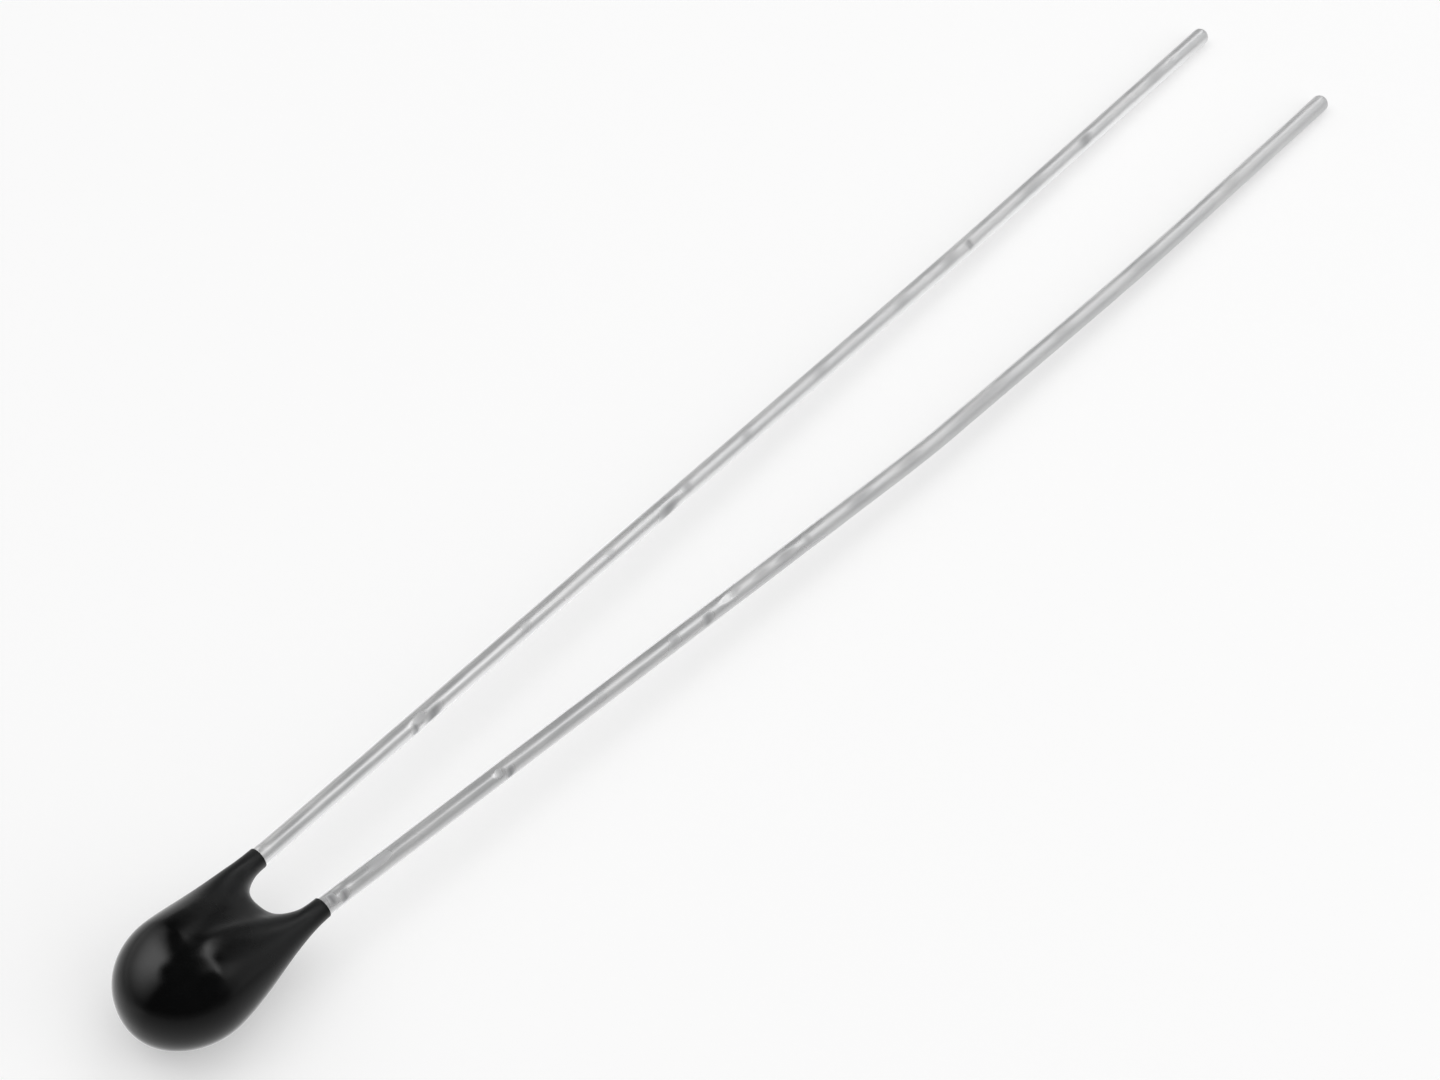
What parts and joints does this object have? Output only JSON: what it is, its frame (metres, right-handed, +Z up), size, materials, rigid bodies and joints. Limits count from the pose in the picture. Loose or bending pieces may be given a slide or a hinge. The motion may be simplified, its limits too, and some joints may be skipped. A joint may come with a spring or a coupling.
{
  "type": "ntc thermistor",
  "caption": "Dipped bead resistor whose resistance falls as it warms: a glossy black epoxy drop with horns over its bare tinned wire leads.",
  "frame": {"origin": "middle of the part's extents, on the surface that it lies on", "axes": "+X runs along the wires from the drop to their tips, +Y to the side of the first wire, +Z up off the surface"},
  "size_m": [0.0412, 0.0046, 0.0027],
  "materials": {
    "epoxy": "glossy black dipped epoxy",
    "oxide_ceramic": "matte sintered oxide, dark grey",
    "silver_film": "matte fired silver",
    "solder": "smooth satin solder",
    "tinned_wire": "satin tin plate with small handling marks"
  },
  "bodies": {
    "root": {"coating": "epoxy", "chip": "oxide_ceramic", "electrode_a": "silver_film", "electrode_b": "silver_film", "solder_a": "solder", "solder_b": "solder", "lead_a": "tinned_wire", "lead_b": "tinned_wire"}
  },
  "joints": []
}
